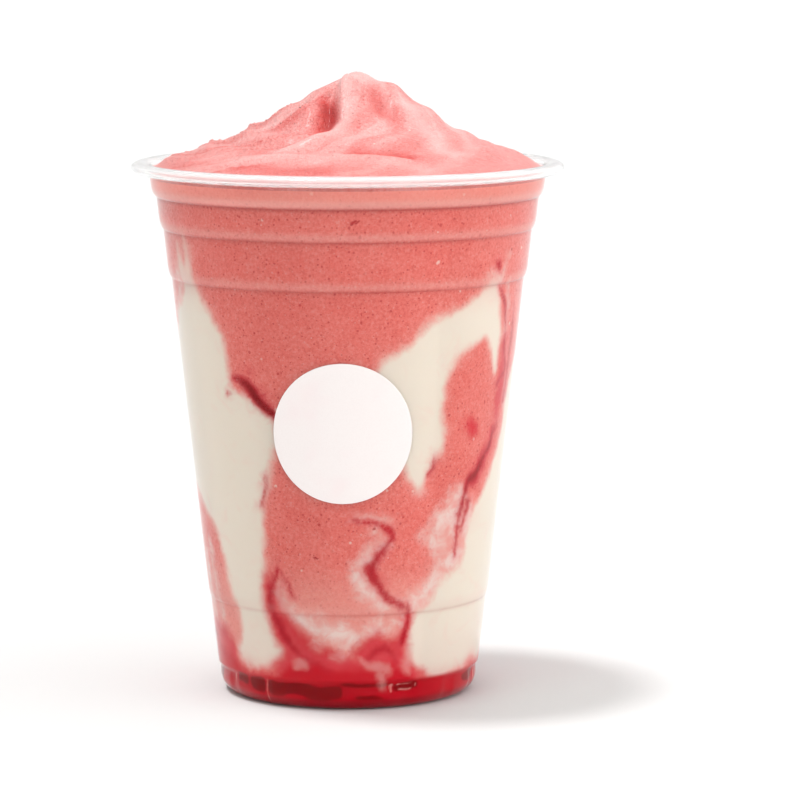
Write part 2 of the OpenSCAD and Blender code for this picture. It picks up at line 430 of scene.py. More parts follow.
# %% [markdown]
# ## Effects that several finishes share
# Four groups are enough. *Torn edge* turns a distance to a border into a mask with a soft, frayed
# edge. *Specks* are small dots of many sizes. *Blended fruit* is the pink body itself: a base colour
# that drifts a little, with the finest flecks of skin and seed and tiny pale air bubbles. *Foam
# relief* is the fine height of a whipped surface. Painted images could do the same, but they would
# have to be painted and unrolled first.

# %% Group: torn edge
FRAY_REACH = 4.0
torn_edge, t_in, t_out = new_group(
    "torn_edge",
    [("Distance", "NodeSocketFloat", 0.0), ("Softness", "NodeSocketFloat", 1.0),
     ("Fray", "NodeSocketFloat", 1.0), ("Scale", "NodeSocketFloat", 0.3)],
    [("Mask", "NodeSocketFloat")],
)
t_noise = node(torn_edge, "ShaderNodeTexNoise", Detail=4.0, Roughness=0.62, Distortion=0.6)
join(torn_edge, place_in_mm(torn_edge), t_noise.inputs["Vector"])
join(torn_edge, t_in["Scale"], t_noise.inputs["Scale"])
t_centred = maths(torn_edge, "SUBTRACT", t_noise.outputs[0], 0.5)
t_shift = times(torn_edge, times(torn_edge, t_centred, t_in["Fray"]), FRAY_REACH)
t_moved = maths(torn_edge, "ADD", t_in["Distance"], t_shift)
t_mask = ramp(torn_edge, t_moved, t_in["Softness"], times(torn_edge, t_in["Softness"], -1.0))
join(torn_edge, t_mask, t_out["Mask"])
print("torn edge:", len(torn_edge.nodes), "nodes")

# %% Group: specks
specks, s_in, s_out = new_group(
    "specks",
    [("Scale", "NodeSocketFloat", 1.0), ("Size", "NodeSocketFloat", 0.2),
     ("Share", "NodeSocketFloat", 0.5)],
    [("Mask", "NodeSocketFloat")],
)
s_cell = node(specks, "ShaderNodeTexVoronoi", Randomness=1.0)
join(specks, place_in_mm(specks), s_cell.inputs["Vector"])
join(specks, s_in["Scale"], s_cell.inputs["Scale"])
s_pick = node(specks, "ShaderNodeSeparateColor")
join(specks, s_cell.outputs["Color"], s_pick.inputs[0])
s_size = times(specks, s_in["Size"], maths(specks, "ADD", s_pick.outputs[1], 0.4))
s_dot = ramp(specks, s_cell.outputs["Distance"], s_size, times(specks, s_size, 0.45))
s_here = maths(specks, "LESS_THAN", s_pick.outputs[0], s_in["Share"])
join(specks, times(specks, s_dot, s_here), s_out["Mask"])
print("specks:", len(specks.nodes), "nodes")

# %% Group: blended fruit
AIR_WHITE = srgb(255, 226, 214)
SKIN_RED = srgb(206, 52, 54)
GRIT_RED = srgb(196, 62, 62)
fruit, b_in, b_out = new_group(
    "blended_fruit",
    [("Pink", "NodeSocketColor", (0.8, 0.25, 0.22, 1)),
     ("Deep Pink", "NodeSocketColor", (0.6, 0.12, 0.11, 1)),
     ("Pale Pink", "NodeSocketColor", (0.9, 0.5, 0.45, 1)), ("Flecks", "NodeSocketFloat", 1.0)],
    [("Color", "NodeSocketColor"), ("Fleck Mask", "NodeSocketFloat")],
)
b_place = place_in_mm(fruit)
b_drift = noise(fruit, b_place, 0.09, 3.0, 0.6, 0.8)
b_grain = noise(fruit, b_place, 1.5, 3.0, 0.75)
b_wisp = noise(fruit, b_place, 0.55, 4.0, 0.7, 1.6)
b_color = mix(fruit, ramp(fruit, b_drift, 0.38, 0.66, 0, 0.42), b_in["Pink"], b_in["Deep Pink"])
b_color = mix(fruit, ramp(fruit, b_wisp, 0.56, 0.78, 0, 0.5), b_color, b_in["Pale Pink"])
b_grit = mix(fruit, 0.45, b_in["Deep Pink"], GRIT_RED)
b_color = mix(fruit, ramp(fruit, b_grain, 0.42, 0.72, 0, 0.6), b_color, b_grit)
b_color = mix(fruit, ramp(fruit, b_grain, 0.5, 0.3, 0, 0.35), b_color, b_in["Pale Pink"])
b_bubble = use_group(fruit, specks, Scale=1.3, Size=0.26, Share=0.5)["Mask"]
b_color = layer(fruit, b_color, b_bubble, 0.5, b_in["Pale Pink"])
b_foam = use_group(fruit, specks, Scale=0.36, Size=0.15, Share=0.22)["Mask"]
b_color = layer(fruit, b_color, b_foam, 0.8, AIR_WHITE)
b_fine = use_group(fruit, specks, Scale=1.15, Size=0.3, Share=0.5)["Mask"]
b_bold = use_group(fruit, specks, Scale=0.45, Size=0.19, Share=0.28)["Mask"]
b_fleck = times(fruit, maths(fruit, "MAXIMUM", b_fine, b_bold), b_in["Flecks"])
join(fruit, layer(fruit, b_color, b_fleck, 0.6, SKIN_RED), b_out["Color"])
join(fruit, b_fleck, b_out["Fleck Mask"])
print("blended fruit:", len(fruit.nodes), "nodes")

# %% Group: foam relief
foam_relief, f_in, f_out = new_group(
    "foam_relief",
    [("Strength", "NodeSocketFloat", 1.0)],
    [("Height", "NodeSocketFloat")],
)
f_place = place_in_mm(foam_relief)
f_broad = noise(foam_relief, f_place, 0.5, 3.0, 0.55, 0.5)
f_fine = noise(foam_relief, f_place, 2.2, 2.0, 0.6)
f_pit = use_group(foam_relief, specks, Scale=0.9, Size=0.2, Share=0.3)["Mask"]
f_sum = maths(foam_relief, "ADD", times(foam_relief, f_broad, 0.7), times(foam_relief, f_fine, 0.34))
f_sum = maths(foam_relief, "SUBTRACT", f_sum, times(foam_relief, f_pit, 0.25))
join(foam_relief, times(foam_relief, f_sum, f_in["Strength"]), f_out["Height"])
print("groups:", [g.name for g in bpy.data.node_groups])

# %% [markdown]
# ## Where the swirls lie
# On the real drink the bands come from spooning yoghurt down the wall before the pour. They could be
# painted by a noise pattern, but then no two would ever look poured. Here each band is an outline on
# the unrolled wall, in degrees round from the front and millimetres up from the table, and each
# streak is a line with its own half width. Stains of syrup, pale lumps over the red, bright lines in
# the foot and bits of fruit skin are laid the same way. Every point of the drink then stores how far
# it lies from them.

# %% Bands of yoghurt: (degrees, height)
yoghurt_outlines = [
    [(-54, 9.5), (-46, 8.6), (-35, 9.3), (-27, 13.4), (-33, 16.5), (-35.6, 25), (-35.4, 34),
     (-33.6, 44), (-33.2, 48), (-30, 53), (-28.4, 62), (-28.5, 69), (-36, 71.3), (-43, 74.2),
     (-44, 78), (-46, 84), (-49.5, 89), (-56, 95), (-59, 104), (-60.5, 107), (-62.5, 101), (-66, 105),
     (-68, 103), (-68.6, 94), (-77, 88), (-88, 81), (-96, 72), (-98, 60), (-90, 52), (-78, 46),
     (-64, 41.5), (-57, 33), (-54.6, 26), (-51, 19), (-50.5, 16), (-56, 12.5)],
    [(51.7, 97.5), (47, 94.5), (36.7, 91.6), (27.3, 89.7), (20.5, 85.4), (15.6, 81.5), (10.6, 79),
     (8, 74), (13, 66), (19, 58), (25, 51.3), (27.5, 52), (31, 56), (36.2, 62), (35.2, 66), (35, 71),
     (36, 76), (41, 81), (47, 83.6), (53, 84.6), (58, 79), (60.6, 76), (62.3, 80), (61.6, 85),
     (59, 91), (56, 96)],
    [(74, 70), (72, 62), (65.5, 53), (59.5, 46.6), (53.7, 42.4), (49.6, 33.4), (41.8, 29.3), (35, 25),
     (27.4, 22), (24.3, 16.3), (27, 11.4), (36, 7.4), (51.7, 6.6), (62, 8.9), (82, 8.6), (95, 12),
     (99, 24), (103, 38), (106, 50), (100, 62), (93, 72), (82, 77)],
    [(166, 102), (178, 101), (178, 92), (181, 82), (186, 70), (200, 58), (208, 44), (204, 33),
     (196, 22), (190, 12), (170, 9), (150, 12), (162, 24), (174, 33), (166, 44), (146, 53), (134, 62),
     (138, 76), (154, 88), (160, 96)],
]
print(len(yoghurt_outlines), "bands of yoghurt")

# %% Pale clouds and wisps, where the pink has taken up some of the white
pale_outlines = [
    [(41.5, 50), (36, 46), (29, 41), (33, 38), (35.2, 34), (33.5, 31), (29, 28), (24, 25.4), (25, 21.5),
     (42, 28.5), (50, 33.5), (54.5, 42.4), (51, 48), (46, 51)],
    [(-31, 28.5), (-28.5, 27.6), (-24, 23.5), (-19, 22.3), (-12, 22.4), (-7, 20.8), (-3, 21.5),
     (4, 20.2), (11, 20.6), (15, 21.6), (19.5, 24.4), (24, 24.2), (25, 22.3), (21.5, 19.5), (13, 18.4),
     (6, 15.6), (0, 14.8), (-8, 15.5), (-14, 16.3), (-18, 19), (-24, 21), (-28, 24.3)],
    [(118, 40), (124, 48), (120, 58), (111, 66), (108, 52), (112, 42)],
    [(-138, 19), (-129, 23), (-124, 32), (-116, 39), (-112, 47), (-119, 46), (-128, 38), (-135, 30)],
]
# Wisps are (degrees, height, half width in mm)
pale_strokes = [
    [(10, 41.5, 0.7), (12.6, 39.4, 1.5), (9, 35.8, 1.5), (4.5, 32.6, 1.6), (7, 28.6, 1.9),
     (12.5, 25, 1.6), (20, 24.4, 1.2)],
    [(2, 45.6, 0.3), (8, 45.2, 0.4), (15.5, 43.8, 0.5)],
    [(26, 51, 1.2), (24, 53, 0.7)],
    [(-47, 73.5, 1.3), (-42, 71.6, 1.3), (-34, 70, 0.9)],
    [(-21.5, 11, 1.2), (-20, 11.2, 1.3)],
    [(-5, 12.2, 0.9), (-2.5, 12, 0.9)],
    [(12.6, 10.2, 1.3), (15, 8.4, 1.1), (15.8, 5.2, 0.8)],
    [(51, 99.5, 0.5), (56, 98, 0.5), (60, 103, 0.4)],
    [(-70, 99, 0.6), (-73, 92, 1.0), (-80, 86, 1.0)],
    [(64, 96, 0.5), (66, 86, 0.9), (70, 74, 0.8), (75, 63, 0.5)],
    [(96, 100, 0.4), (104, 88, 1.4), (114, 78, 1.8), (122, 64, 0.8)],
    [(-120, 96, 0.3), (-112, 84, 1.5), (-116, 70, 1.8), (-126, 58, 0.6)],
    [(-70, 36, 0.2), (-68, 27, 0.4), (-66, 19, 0.3)],
    [(-76, 33, 0.2), (-75, 22, 0.3), (-73, 15, 0.2)],
]
print(len(pale_outlines), "clouds,", len(pale_strokes), "wisps")

# %% Streaks and stains of dark syrup
# Streaks are (degrees, height, half width in mm)
syrup_strokes = [
    [(-41.8, 76.9, 0.5), (-39.2, 76, 1.0), (-35.2, 73.9, 1.6), (-31.7, 71.5, 1.8), (-28.6, 69.2, 1.5),
     (-26, 67.4, 0.9)],
    [(-35.2, 77.8, 0.3), (-34.7, 77.7, 0.3)],
    [(-45.2, 72.9, 0.35), (-44.8, 72.4, 0.35)],
    [(54, 101.7, 0.9), (54.2, 101.2, 0.9)],
    [(57, 96, 0.5), (60.4, 94.4, 0.7), (62.8, 92, 0.7), (65.5, 86, 0.4), (68, 80, 0.5), (69.7, 76, 0.6),
     (66, 74, 0.3), (63, 73, 0.2)],
    [(72, 91, 0.1), (73, 84, 0.5), (73, 76, 0.35), (71, 68, 0.2)],
    [(66, 64, 0.3), (62, 59.5, 0.8), (58.5, 57, 0.9), (56.4, 54, 1.3), (53, 52, 1.5), (49.8, 51, 1.1),
     (48.4, 48, 0.9), (46, 44.5, 0.7), (45.6, 40, 0.45), (45.2, 34, 0.2)],
    [(50.5, 47, 0.7), (49, 44, 0.5), (48.6, 40.5, 0.3)],
    [(30.5, 54.8, 0.35), (32.5, 57, 0.5), (31.6, 58.3, 0.3)],
    [(1.2, 44.4, 0.25), (4.5, 43.7, 0.4), (9, 43.5, 0.5), (13, 43.1, 0.6), (15.9, 42, 0.65),
     (15.4, 40, 0.6), (13, 37.8, 0.6), (10, 35.4, 0.9), (8.9, 32.8, 1.1), (11.4, 30.2, 1.0),
     (14, 27.8, 0.9), (17, 25.8, 0.8), (21, 24.9, 0.7), (24.2, 24.1, 0.7), (24.8, 22, 0.7),
     (23.6, 19, 0.8), (22, 16, 1.0)],
    [(-29, 34, 0.2), (-30.5, 30.5, 0.5), (-32.5, 26.4, 0.7), (-33.4, 23, 0.8), (-30, 19.4, 0.9),
     (-25.5, 16.4, 0.9), (-20.5, 13.6, 0.7), (-13, 10.6, 0.8), (-8, 9.2, 0.7)],
    [(-28, 31, 0.15), (-24, 27.6, 0.35), (-22, 26.5, 0.15)],
    [(9, 12.6, 0.5), (13, 14.6, 0.8), (17, 13.6, 0.8), (20, 11.6, 0.6)],
    [(-31.5, 53, 0.15), (-32.6, 50, 0.3), (-34, 47.5, 0.2)],
    [(118, 96, 0.3), (124, 84, 1.0), (126, 70, 1.2), (122, 60, 0.6), (116, 52, 0.3)],
    [(-150, 74, 0.3), (-142, 66, 1.1), (-140, 54, 1.2), (-146, 42, 0.8), (-150, 30, 1.0),
     (-140, 18, 1.4)],
    [(140, 34, 0.3), (132, 26, 1.2), (122, 20, 1.5), (114, 14, 1.8)],
    [(-100, 34, 0.2), (-96, 24, 1.0), (-88, 16, 1.6), (-78, 12.5, 1.5)],
]
# Stains are outlines where syrup has spread into the pink
stain_outlines = [
    [(-34.4, 31), (-30, 27.4), (-27, 23), (-22, 19.8), (-17, 17.6), (-12, 15.4), (-6, 14.2), (0, 12.8),
     (5, 11.6), (6, 8.6), (-6, 7.4), (-22, 7.6), (-33, 9.6), (-28, 13.5), (-33, 16.5), (-35.8, 24)],
    [(1, 13.2), (5, 16.4), (11, 18.2), (17, 17.4), (21, 18.6), (23.4, 22.4), (25.6, 23), (25, 16),
     (27.4, 11), (34, 7.6), (20, 7), (12, 8.8), (5, 10.6)],
    [(46, 66), (49, 67), (51.5, 64), (49, 61.5), (46.4, 63)],
    [(55, 56), (60, 60), (64, 64.5), (62, 57), (57, 52), (53.5, 50.5)],
    [(64, 80), (68, 84), (72, 74), (68, 66), (64, 68)],
    [(-76, 18), (-62, 15), (-56, 11), (-62, 8), (-84, 8), (-92, 14)],
]
print(len(syrup_strokes), "streaks,", len(stain_outlines), "stains")

# %% Small things: (degrees, height, half width in mm)
# Pale lumps that float over the red
lump_strokes = [
    [(-23.2, 10.6, 0.8), (-21, 11.4, 1.2), (-18.4, 10.6, 0.8)],
    [(-6.4, 12.8, 0.5), (-3.4, 12.3, 0.9)],
    [(5, 12.6, 0.5), (9, 11, 0.8), (13, 10.4, 1.2), (16, 9.4, 1.2)],
    [(13.6, 8.6, 1.0), (14.6, 7.2, 1.0), (15.6, 5.9, 0.7)],
    [(26.5, 13.2, 0.7), (24.2, 10.8, 0.9), (25.5, 9.4, 0.7)],
    [(-31, 27, 0.3), (-29.4, 25.6, 0.8), (-26.6, 23.8, 0.6)],
    [(112, 11, 0.8), (117, 12, 1.1)],
    [(-140, 9.6, 0.9), (-134, 10.8, 0.8)],
]
# Thin pale lines where the foot and an air bubble catch the light
glint_strokes = [
    [(-61, 1.8, 0.1), (-61.4, 4.4, 0.22), (-61, 5.9, 0.15)],
    [(-38, 1.2, 0.1), (-38.3, 3.4, 0.2), (-37.8, 5.8, 0.1)],
    [(77, 1.9, 0.1), (77.2, 3.6, 0.3), (77, 5.2, 0.1)],
    [(18.9, 4.7, 0.2), (18.7, 5.7, 0.3), (19.3, 6.2, 0.15)],
    [(21.5, 6.25, 0.1), (25, 6.3, 0.16), (28.4, 6.2, 0.1)],
    [(22, 5.0, 0.1), (25, 4.7, 0.2), (28, 4.8, 0.1)],
    [(30.4, 5.2, 0.12), (30.8, 5.8, 0.12)],
    [(132, 1.8, 0.1), (132, 5.6, 0.2)],
    [(-118, 1.8, 0.1), (-118, 5.4, 0.2)],
]
# Bits of red fruit skin caught against the wall
skin_bits = [
    [(1.4, 112.0, 0.42), (2.6, 112.3, 0.3)], [(20.2, 101.9, 0.34), (20.6, 102.1, 0.3)],
    [(-25.6, 112.1, 0.34), (-25.2, 112.0, 0.3)], [(33, 112.4, 0.3), (33.4, 112.2, 0.3)],
    [(-3.2, 96.5, 0.25), (-2.9, 96.4, 0.2)], [(30.6, 109, 0.25), (30.9, 109.2, 0.2)],
    [(-12, 61, 0.25), (-11.7, 60.8, 0.2)], [(9, 42, 0.3), (9.4, 42.3, 0.2)],
    [(-14, 36, 0.3), (-13.6, 36, 0.2)], [(62, 104, 0.35), (62.6, 104.4, 0.3)],
    [(110, 90, 0.4), (111, 90.3, 0.3)], [(150, 76, 0.35), (150.5, 75.6, 0.3)],
    [(-100, 98, 0.4), (-99.4, 98.3, 0.3)], [(-150, 107, 0.4), (-149.2, 107.2, 0.3)],
    [(-170, 60, 0.3), (-169, 60, 0.3)],
]
print(len(lump_strokes), "lumps,", len(glint_strokes), "bright lines,", len(skin_bits), "bits of skin")

# %% The red foot
# Height of the red band over the foot, round the cup: (degrees, height)
red_band = [
    (-180, 9.5), (-150, 12), (-120, 10), (-100, 13), (-76, 13.5), (-60, 12), (-54, 9.4), (-44, 8.4),
    (-34, 9), (-26, 12), (-14, 12.2), (-4, 10.8), (6, 12), (16, 12.6), (25, 11.6), (31, 8), (40, 6.6),
    (54, 6.4), (64, 8.4), (80, 8.4), (100, 10), (120, 13), (140, 11), (156, 8.8), (180, 9.5),
]
# Painted shade: dark places seen through the foot, between the lugs; those at the back are (from, width,
# low edge)
foot_shade_outlines = [
    [(-58, 5.9), (-52, 6.1), (-51, 3.6), (-57, 3.8)],
    [(-49, 6.0), (-40.5, 6.1), (-40, 3.4), (-48.5, 3.6)],
    [(-36, 5.9), (-22, 5.6), (-6, 5.9), (-3, 4.4), (-6, 2.9), (-20, 2.7), (-35.5, 3.0)],
    [(-3, 6.5), (12, 6.3), (19, 6.5), (19, 5.9), (4, 5.5), (-2, 5.7)],
    [(3, 3.6), (14, 3.8), (15, 3.0), (4, 2.8)],
    [(20.5, 6.3), (30, 6.5), (31, 4.9), (21, 4.6)],
    [(62, 6.2), (73, 6.2), (72, 4.2), (63, 4.4)],
] + [[(a, 6.2), (a + w, 6.1), (a + w - 1, h), (a + 1, h + 0.2)]
     for a, w, h in ((86, 13, 3.6), (108, 17, 3.0), (131, 12, 4.0), (154, 18, 3.2), (177, 14, 3.8),
                     (199, 18, 3.0), (222, 13, 3.6), (244, 17, 3.4), (267, 15, 3.2))]
print(len(foot_shade_outlines), "dark places in the foot")


# %% Measuring on the unrolled wall
FAR = 1e3
FOOT_SHADE_FAR = 9.0


def unrolled(angle, height):
    """Millimetres round the wall at a height."""
    return np.radians(angle) * wall_r(np.maximum(height, FOOT_H))


def nearest_turn(angle, middle):
    """The same angle, written within half a turn of the middle."""
    return (angle - middle + 180) % 360 - 180 + middle


def rounded(points, closed=False, steps=4):
    """The same points with a smooth curve through them."""
    p = np.array(points, float)
    last = len(p) if closed else len(p) - 1
    made = []
    for i in range(last):
        around = [i - 1, i, i + 1, i + 2]
        a, b, c, d = (p[k % len(p)] if closed else p[min(max(k, 0), len(p) - 1)] for k in around)
        for t in np.linspace(0, 1, steps, endpoint=False):
            made.append(0.5 * (2 * b + (c - a) * t + (2 * a - 5 * b + 4 * c - d) * t ** 2
                               + (3 * b - a - 3 * c + d) * t ** 3))
    return made if closed else made + [p[-1]]


print("wall", round(float(unrolled(360, FOOT_H)), 1), "mm round at the foot")


# %% Distance to an outline or a line
def segment_distance(x, y, a, b):
    """Distance to a straight piece, and how far along it the nearest place is, 0 to 1."""
    dx, dy = b[0] - a[0], b[1] - a[1]
    t = np.clip(((x - a[0]) * dx + (y - a[1]) * dy) / (dx * dx + dy * dy), 0, 1)
    return np.hypot(x - a[0] - t * dx, y - a[1] - t * dy), t


def outline_distance(angle, height, outline):
    """How far points lie outside an outline, in mm; inside it is negative."""
    middle = sum(p[0] for p in outline) / len(outline)
    x = unrolled(nearest_turn(angle, middle), height)
    corners = [(float(unrolled(a, z)), z) for a, z in rounded(outline, closed=True)]
    best = np.full(len(angle), FAR)
    inside = np.zeros(len(angle), bool)
    for a, b in zip(corners, corners[1:] + corners[:1]):
        best = np.minimum(best, segment_distance(x, height, a, b)[0])
        crosses = (a[1] > height) != (b[1] > height)
        cut = a[0] + (height - a[1]) * (b[0] - a[0]) / ((b[1] - a[1]) or 1e-9)
        inside ^= crosses & (x < cut)
    return np.where(inside, -best, best)


def stroke_distance(angle, height, stroke):
    """How far points lie outside a line of changing width, in mm; inside it is negative."""
    middle = sum(p[0] for p in stroke) / len(stroke)
    x = unrolled(nearest_turn(angle, middle), height)
    stations = [(float(unrolled(a, z)), z, w) for a, z, w in rounded(stroke)]
    best = np.full(len(angle), FAR)
    for a, b in zip(stations, stations[1:]):
        far, t = segment_distance(x, height, a, b)
        best = np.minimum(best, far - (a[2] + (b[2] - a[2]) * t))
    return best


print("1 mm beside a straight piece:", segment_distance(0.5, 1.0, (0, 0), (1, 0))[0], "mm")


# %% Distance to every shape on the wall
def sway(angle, height, seed, around, up, count=14):
    """A smooth random field round the cup, about -1 to 1; it closes on itself at the back."""
    rng = np.random.default_rng(seed)
    turns = rng.integers(-around, around + 1, count)
    rises = rng.uniform(-up, up, count)
    starts = rng.uniform(0, 2 * math.pi, count)
    waves = [np.sin(np.radians(angle) * k + height * m + s) for k, m, s in zip(turns, rises, starts)]
    return sum(waves) / math.sqrt(count / 2)


def nearest(distance, shapes, angle, height):
    """The distance to the nearest of several outlines or lines."""
    return np.min([distance(angle, height, shape) for shape in shapes], axis=0)


def all_around(angle, height):
    """How far each point lies from every kind of shape on the wall, in mm."""
    a = angle + 0.6 * sway(angle, height, 3, 22, 0.45) + 0.25 * sway(angle, height, 4, 60, 1.1)
    z = height + 0.4 * sway(angle, height, 5, 22, 0.45) + 0.15 * sway(angle, height, 6, 60, 1.1)
    low = height < FOOT_H + 2
    foot_shade = np.full(len(angle), FOOT_SHADE_FAR)
    foot_shade[low] = nearest(outline_distance, foot_shade_outlines, a[low], z[low])
    return {
        "yoghurt": nearest(outline_distance, yoghurt_outlines, a, z),
        "pale": np.minimum(nearest(outline_distance, pale_outlines, a, z),
                           nearest(stroke_distance, pale_strokes, a, z)),
        "syrup": nearest(stroke_distance, syrup_strokes, a, z),
        "stain": nearest(outline_distance, stain_outlines, a, z),
        "lump": nearest(stroke_distance, lump_strokes, a, z),
        "skin": nearest(stroke_distance, skin_bits, a, z),
        "glint": nearest(stroke_distance, glint_strokes, a, z),
        "band": z - np.interp((angle + 180) % 360 - 180, *zip(*red_band)),
        "foot_shade": foot_shade,
    }


print("shapes on the wall at the front:", list(all_around(np.zeros(1), np.full(1, FOOT_H))))

# %% [markdown]
# ## The heap
# Thick drink piles up as it is poured and folds over itself, so it keeps a twisted peak with a hollow
# beside it and a soft groove on the front. A cloth or fluid simulation would give some heap, but not
# this one. The height is a formula instead: a broad dome, a peak, and a short list of humps and
# dents, with thin flow lines that follow the slope down to the rim.

# %% Height of the heap, in millimetres
DOME_RISE = 7.3
PEAK_RISE = 14.8
PEAK_X = 2.4
PEAK_WIDE = 18.5
FOLD_RISE = 0.5
HEAP_EDGE = float(wall_r(FILL_Z)) - WALL
# Humps and dents: (x, y, half length, half width, turn in degrees, rise)
reliefs = [(-0.5, -12, 9, 2.4, 78, 2.2), (-7.5, -12, 6, 3.6, 60, 1.8), (-3.6, -16.2, 4.2, 3.4, 84, -3.4),
           (8.4, -13, 5, 3, 110, -1.9), (13.5, -13, 7, 2.4, 115, 1), (7.5, -31.2, 7.5, 1.9, 4, -1.5),
           (7.5, -35.6, 9.5, 1.8, 6, 0.5), (40, 3, 7, 2.5, 90, 0.9), (3, 17, 8, 3, 110, 1.6),
           (-6, 19, 6, 3, 70, -2.4), (14, 24, 9, 2.6, 150, 1.2), (-22, 10, 9, 3, 120, 1)]


def hump(x, y, relief):
    cx, cy, half_long, half_wide, turn, rise = relief
    c, s = math.cos(math.radians(turn)), math.sin(math.radians(turn))
    u = (x - cx) * c + (y - cy) * s
    v = (y - cy) * c - (x - cx) * s
    return rise * np.exp(-((u / half_long) ** 2) - (v / half_wide) ** 2)


def heap_z(x, y):
    r = np.hypot(x, y)
    t = np.minimum(r / HEAP_EDGE, 1)
    dome = DOME_RISE * (1 - t ** 2.6) ** 0.75
    peak = PEAK_RISE * np.exp(-((np.hypot(x - PEAK_X, y) / PEAK_WIDE) ** 2))
    folds = FOLD_RISE * np.sin(np.radians(r * 42) - np.arctan2(y, x)) * (1 - t ** 6) * soft(r / 12)
    return FILL_Z + dome + (peak + folds + sum(hump(x, y, f) for f in reliefs)) * (1 - t ** 12)

print("heap's edge", round(HEAP_EDGE, 2), "mm from the axis")


# %% Fine relief of the heap
def ridge_line(x, y, path, half_wide):
    """1 on a line across the heap, falling to 0 at half_wide; path is [(x, y), ...]."""
    near = np.min([segment_distance(x, y, a, b)[0] for a, b in zip(path, path[1:])], axis=0)
    return soft(1 - near / half_wide)


def spiral(x, y, seed, low, high, count=10):
    """A random pattern of lines that wind down the heap as the pour did, about -1 to 1."""
    rng = np.random.default_rng(seed)
    r = np.hypot(x, y)
    turn = np.arctan2(x, -y)
    drift = 0.2 * np.sin(2 * turn + r * 0.13 + 1.0) + 0.12 * np.sin(5 * turn - r * 0.21)
    made = 0
    for k in rng.integers(low, high, count):
        made = made + np.sin(k * turn + k * r / 17.2 + k * drift * 0.35 + rng.uniform(0, 6.28))
    return made / math.sqrt(count / 2)


def heap_detail(x, y):
    """The small relief that the coarse formula leaves out: rise, and shift to the side."""
    r = np.hypot(x, y)
    turn = np.degrees(np.arctan2(x, -y))
    swoosh = ridge_line(
        x, y, [(-0.2, -8.5), (-1.2, -12), (-1.9, -16), (-3.6, -21), (-8, -25), (-14, -27)], 3.0)
    crease = ridge_line(x, y, [(-2.6, -9.5), (-3.6, -14), (-4.3, -18), (-7.0, -21.5), (-11, -23.5)], 3.0)
    pit = hump(x, y, (-3.3, -15.8, 2.2, 1.9, 80, 0.3))
    brow = hump(x, y, (-3.6, -9.5, 2.4, 1.4, 60, 1.3))
    lip = ridge_line(x, y, [(-3, -34.2), (5, -35.0), (14, -34.2)], 1.2)
    groove = ridge_line(x, y, [(2, -31.4), (8, -32), (13.6, -31.2)], 2.0)
    side = ridge_line(x, y, [(27, -19), (31, -13), (33, -5), (32, 6)], 2.6)
    low = ridge_line(x, y, [(-30, -22), (-22, -29), (-12, -33.5), (0, -36), (12, -37)], 3.2)
    left = soft((turn + 125) / 30) * soft((-18 - turn) / 25) * soft((r - 9) / 6)
    fade = soft((r - 5) / 6) * soft((HEAP_EDGE - r) / 4)
    thread = (1 - np.abs(np.sin(1.5 * spiral(x, y, 21, 14, 30)))) ** 5
    lines = (0.08 + 0.13 * left) * spiral(x, y, 12, 18, 46) + (0.1 + 0.45 * left) * thread
    blunt = hump(x, y, (-4.2, 0, 3.6, 4.5, 0, 1.2)) + hump(x, y, (7.5, 0, 3.2, 4.5, 0, 0.6))
    rise = (1.0 * swoosh - 0.35 * crease - pit - brow + 0.5 * lip - 0.5 * groove + 0.7 * side + 0.5 * low
            + fade * lines - blunt)
    return rise * soft((HEAP_EDGE - r) / 3), -0.25 * swoosh * soft((22 - r) / 6)


print("heap rises to", round(float(heap_z(np.array([PEAK_X]), np.array([0.0]))[0]), 2), "mm")

# %% [markdown]
# ## The drink as one piece
# Plastic on liquid shows no air gap, so the drink's side reaches a little into the wall. Floor, foot,
# side and heap are one closed mesh with two finishes: the side seen through plastic, and the heap.

# %% Drink mesh
INTO_WALL = 0.15
COLUMNS = 360
HEAP_RINGS = 86
SIDE_STEP = 0.74
# Rows in the straight part of the foot, close enough to hold its bright lines
FOOT_ROWS = (4.3, 4.6, 4.9, 5.2, 5.5, 5.8)
inset = WALL - INTO_WALL
foot_line = (
    [(0, RECESS_H + inset), (RING_IN - RECESS_SIDE + inset * 0.6, RECESS_H + inset),
     (RING_IN + inset * 0.8, inset)]
    + arc((RING_OUT, FOOT_ROUND), FOOT_ROUND - inset, -90, 0, 12)
    + [(RING_OUT + FOOT_ROUND - inset, z) for z in FOOT_ROWS]
    + [(BASE_R - FOOT_INSET - inset, FOOT_H + 0.1 - STEP_H), (BASE_R - inset, FOOT_H + 0.1)]
)
side_line = [(float(wall_r(z)) - inset, z) for z in wall_heights(FOOT_H + 0.7, FILL_Z, SIDE_STEP)]
shares = [1 - i / HEAP_RINGS for i in range(HEAP_RINGS)]
heap_line = [(HEAP_EDGE * s, FILL_Z) for s in shares] + [(0, FILL_Z)]
drink = turned("drink", foot_line + side_line + heap_line, COLUMNS)
co = np.empty(len(drink.data.vertices) * 3)
drink.data.vertices.foreach_get("co", co)
co = co.reshape(-1, 3) / MM
below_heap = (len(foot_line) - 1 + len(side_line)) * COLUMNS
on_heap = np.arange(len(co)) >= 1 + below_heap
x, y = co[on_heap, 0].copy(), co[on_heap, 1].copy()
rise, shift = heap_detail(x, y)
co[on_heap, 2] = heap_z(x, y) + rise
co[on_heap, 0] += shift
drink.data.vertices.foreach_set("co", (co * MM).ravel())
drink.data.update()
print("drink:", len(drink.data.vertices), "points,", len(drink.data.polygons), "faces")

